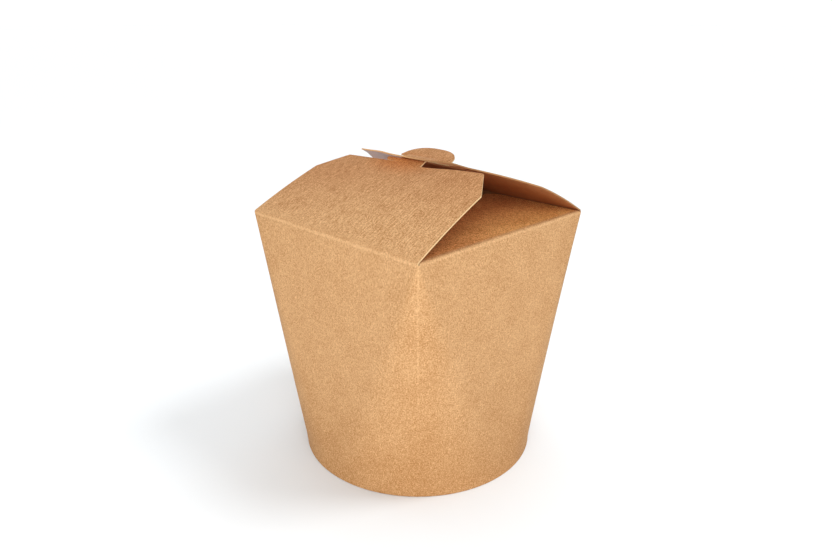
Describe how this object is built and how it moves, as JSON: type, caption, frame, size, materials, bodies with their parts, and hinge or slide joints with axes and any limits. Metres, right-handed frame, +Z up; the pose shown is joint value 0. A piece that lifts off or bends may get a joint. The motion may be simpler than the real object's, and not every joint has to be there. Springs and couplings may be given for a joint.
{
  "type": "noodle takeaway box",
  "caption": "Shut kraft paperboard food box with a round foot and a square rim, its roof flaps held by a rounded tongue that comes up through a slot.",
  "frame": {"origin": "middle of the round foot, on the plane the box stands on", "axes": "+Z up; -Y faces the rim fold of the flap with the tongue, +Y the rim fold of the flap with the slot, and +X and -X the side flaps"},
  "size_m": [0.0944, 0.0944, 0.1208],
  "materials": {
    "kraft_board": "natural brown kraft paperboard, matt and fibrous outside, with a thin satin coating inside"
  },
  "bodies": {
    "root": {"pail_body": "kraft_board", "foot_ring": "kraft_board", "flap_with_tongue": "kraft_board", "side_flap_right": "kraft_board", "flap_with_slot": "kraft_board", "side_flap_left": "kraft_board"}
  },
  "joints": []
}
